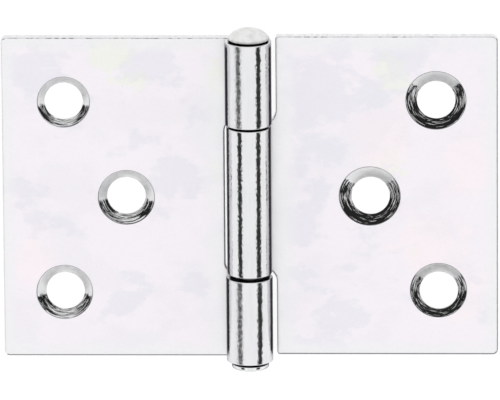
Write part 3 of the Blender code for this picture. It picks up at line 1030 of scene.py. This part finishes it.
class HINGE_OT_leaves(bpy.types.Operator):
    """Build both leaves as punched, countersunk and rolled zinc sheet"""

    bl_idname = "hinge.leaves"
    bl_label = "Build leaves"

    def execute(self, context):
        scene = context.scene
        finish = scene.hinge_finish
        face = zinc_face(finish)
        # Painted darker with dark chips, partly standing in for the dotted dark reflection along
        # the edge toward the head
        edges = [sheared_edge("chipped_shade_edge", (0.70, 0.70, 0.72), chips=(0.48, 0.56)),
                 # Painted dark: the shade line along the leaves' outline and the countersinks' rims
                 sheared_edge("painted_outline_edge", (0.28, 0.28, 0.29)),
                 sheared_edge("sheared_edge", finish.zinc),
                 # Painted white highlight on the knuckles' rounded ends, beside the joint lines
                 sheared_edge("knuckle_lip_highlight", (0.93, 0.93, 0.93), metallic=0.15, chips=(0.6, 0.66)),
                 # Painted dark as shade in the joints and under the pin's head, and white as a
                 # highlight toward its flanks
                 sheared_edge("knuckle_side_shade_and_highlight", (0.25, 0.25, 0.26), NO_GLANCE,
                              painted_highlight_band=END_HIGHLIGHT_FLANK)]
        for node, leaf in LEAVES.items():
            surface = leaf_surface(leaf, scene.hinge_sheet)
            knuckle = zinc_knuckle(finish, "knuckle_" + node, leaf["rub"], leaf["flank"])
            sink = turned_sink("countersink_" + node, leaf["grime"], leaf["painted_shade_start"],
                               leaf["painted_streaks"])
            piece = surface.make_object("zinc_" + node, [face, knuckle, sink] + edges)
            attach(piece, node)
            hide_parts(node)
        return {"FINISHED"}


class HINGE_OT_pin(bpy.types.Operator):
    """Turn the pin with its domed head and peened tail"""

    bl_idname = "hinge.pin"
    bl_label = "Build pin"

    def execute(self, context):
        scene = context.scene
        piece = pin_surface(scene.hinge_pin).make_object(
            "zinc_pin", [pin_head("formed_head", (0.82, 0.815, 0.81)),
                         pin_shank("pin_in_shade", (0.10, 0.10, 0.10)),
                         pin_shank("peened_tail", scene.hinge_finish.zinc, NO_GLANCE)])
        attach(piece, "left_leaf")
        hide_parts("hinge_pin")
        return {"FINISHED"}


# Camera, worked out from the photograph's long-lens view of the hinge. The aim's
# shift is in pixels, right and down.
VIEW_DISTANCE = 1731.0 * MM
TILT_TO_HEAD = math.radians(16.5652)
TILT_TO_RIGHT = math.radians(1.6003)
ROLL = math.radians(-0.4218)
PIXELS_PER_MM = 6.6393
FRAME_WIDTH = 500
AIM_SHIFT = (0.1159, 5.5180)
SENSOR = 36.0
CLIP = (0.1, 20.0)


def make_camera(scene):
    """Long lens over the hinge, tilted toward the pin's head."""
    a, b = TILT_TO_RIGHT, TILT_TO_HEAD
    back = Vector((math.sin(a) * math.cos(b), math.sin(b), math.cos(a) * math.cos(b)))
    right = Vector((0, 1, 0)).cross(back).normalized()
    up = back.cross(right)
    level_right = right * math.cos(ROLL) + up * math.sin(ROLL)
    level_up = up * math.cos(ROLL) - right * math.sin(ROLL)
    data = bpy.data.cameras.new("camera")
    data.sensor_width = SENSOR
    data.lens = SENSOR * PIXELS_PER_MM * (VIEW_DISTANCE / MM) / FRAME_WIDTH
    data.clip_start, data.clip_end = CLIP
    camera = bpy.data.objects.new("camera", data)
    aim = (level_right * AIM_SHIFT[0] - level_up * AIM_SHIFT[1]) / PIXELS_PER_MM * MM
    place = back * VIEW_DISTANCE + aim + Vector((0, LEFT_MIDDLE, 0))
    matrix = Matrix((level_right, level_up, back)).transposed().to_4x4()
    matrix.translation = place
    camera.matrix_world = matrix
    scene.collection.objects.link(camera)
    scene.camera = camera


# Strength of the white that the camera sees behind the hinge and through the table
BACKDROP = 1.1
WHITE = (1.0, 1.0, 1.0)

# Half the table's side, how far it lies below the open leaves, and its paint
TABLE_HALF = 3.0
TABLE_DROP = 0.02 * MM
TABLE_PAINT = (0.93, 0.93, 0.93)


def make_table(look):
    """White table, larger than any view needs, of frosted glass to the camera.

    It glows white in reflections, lets the camera see the white backdrop and a
    leaf that is folded back below it, and keeps the hinge's shadow in the share
    that neither glows nor is clear.
    """
    mesh = bpy.data.meshes.new("table")
    corners = [(x * TABLE_HALF, y * TABLE_HALF, -TABLE_DROP)
               for x, y in ((-1, -1), (1, -1), (1, 1), (-1, 1))]
    mesh.from_pydata(corners, [], [(0, 1, 2, 3)])
    table = bpy.data.objects.new("table", mesh)
    bpy.context.scene.collection.objects.link(table)
    s = Shader(bpy.data.materials.new("white_table"))
    rays = s.node("ShaderNodeLightPath").outputs
    mirrored = s.math("MAXIMUM", rays["Is Glossy Ray"], rays["Is Transmission Ray"])
    glow = s.node("ShaderNodeEmission", {}, {"Color": WHITE, "Strength": BACKDROP})
    clear = s.node("ShaderNodeBsdfTransparent")
    surface = s.node("ShaderNodeBsdfDiffuse", {}, {"Color": TABLE_PAINT})
    for shader, seen in ((glow, mirrored), (clear, rays["Is Camera Ray"])):
        share = s.math("MULTIPLY", seen, look.floor_glow)
        surface = s.node("ShaderNodeMixShader", {}, {
            0: share, 1: surface.outputs[0], 2: shader.outputs[0]})
    s.node("ShaderNodeOutputMaterial", {}, {0: surface.outputs[0]})
    mesh.materials.append(s.owner)


# Gaps of the dome along the pin, in degrees from straight up toward +X, each with
# the angles at which it begins, is whole, fades and ends, then the same four
# places of both along Y
LEFT_GAP = (-61.5, -55.5, -39.0, -33.0)
RIGHT_GAP = (36.0, 42.0, 60.5, 66.5)
GAP_LENGTH = (-0.62, -0.5, -0.08, 0.05)

# Where the skirt begins and is whole, going round toward the head and downward
SKIRT_SIDE = (-0.14, 0.0)
SKIRT_TOP = (0.51, 0.39)


def make_dome(scene, look):
    """White light dome with a dark skirt behind the pin's head and two narrow
    gaps along the pin, which draw the dark lines on the barrel."""
    world = bpy.data.worlds.new("dome")
    scene.world = world
    s = Shader(world)
    x, y, z = s.split(s.node("ShaderNodeTexCoord").outputs["Generated"])
    flat = s.math("SQRT", s.math("ADD", s.math("MULTIPLY", x, x), s.math("MULTIPLY", y, y)))
    azimuth = s.math("DIVIDE", y, s.math("MAXIMUM", flat, 0.001))
    skirt = s.math("MULTIPLY", s.range(azimuth, *SKIRT_SIDE), s.range(z, *SKIRT_TOP))
    lean = s.math("MULTIPLY", s.math("ARCTAN2", x, z), 180.0 / math.pi)
    gaps = s.math("MAXIMUM", s.window(lean, *LEFT_GAP), s.window(lean, *RIGHT_GAP))
    flags = s.math("MULTIPLY", gaps, s.window(y, *GAP_LENGTH))
    strength = s.math("MULTIPLY", s.range(flags, 0.0, 1.0, look.dome, look.dome * look.flag, False),
                      s.range(skirt, 0.0, 1.0, 1.0, look.skirt, False))
    rays = s.node("ShaderNodeLightPath").outputs
    even = s.math("MULTIPLY_ADD", rays["Is Camera Ray"], BACKDROP - look.dome, look.dome)
    mirrored = s.math("MULTIPLY", rays["Is Glossy Ray"], s.math("SUBTRACT", strength, even))
    strength = s.math("ADD", mirrored, even)
    background = s.node("ShaderNodeBackground", {}, {"Color": WHITE, "Strength": strength})
    s.node("ShaderNodeOutputWorld", {}, {0: background.outputs[0]})


class HINGE_OT_stage(bpy.types.Operator):
    """Set the table, the light and the camera"""

    bl_idname = "hinge.stage"
    bl_label = "Set stage"

    def execute(self, context):
        scene = context.scene
        scene.view_settings.view_transform = "Standard"
        make_table(scene.hinge_studio)
        make_dome(scene, scene.hinge_studio)
        make_camera(scene)
        return {"FINISHED"}


class HINGE_PT_sidebar(bpy.types.Panel):
    """Sizes, finish and the steps that build the hinge"""

    bl_idname = "HINGE_PT_sidebar"
    bl_label = "Wide hinge"
    bl_space_type = "VIEW_3D"
    bl_region_type = "UI"
    bl_category = "Hinge"

    def draw(self, context):
        layout = self.layout
        for name in GROUPS:
            box = layout.box()
            group = getattr(context.scene, name)
            for prop in group.bl_rna.properties:
                if prop.identifier not in ("rna_type", "name"):
                    box.prop(group, prop.identifier)
        for step in STEPS:
            layout.operator(step.bl_idname)


GROUPS = {"hinge_sheet": SheetSizes, "hinge_pin": PinSizes, "hinge_finish": ZincFinish,
          "hinge_studio": StudioLook}
STEPS = (HINGE_OT_leaves, HINGE_OT_pin, HINGE_OT_stage)


def register():
    for name, group in GROUPS.items():
        bpy.utils.register_class(group)
        setattr(bpy.types.Scene, name, bpy.props.PointerProperty(type=group))
    for step in STEPS:
        bpy.utils.register_class(step)
    bpy.utils.register_class(HINGE_PT_sidebar)


def unregister():
    bpy.utils.unregister_class(HINGE_PT_sidebar)
    for step in reversed(STEPS):
        bpy.utils.unregister_class(step)
    for name, group in reversed(GROUPS.items()):
        delattr(bpy.types.Scene, name)
        bpy.utils.unregister_class(group)


def main():
    register()
    bpy.ops.hinge.leaves()
    bpy.ops.hinge.pin()
    bpy.ops.hinge.stage()


if __name__ == "__main__":
    main()
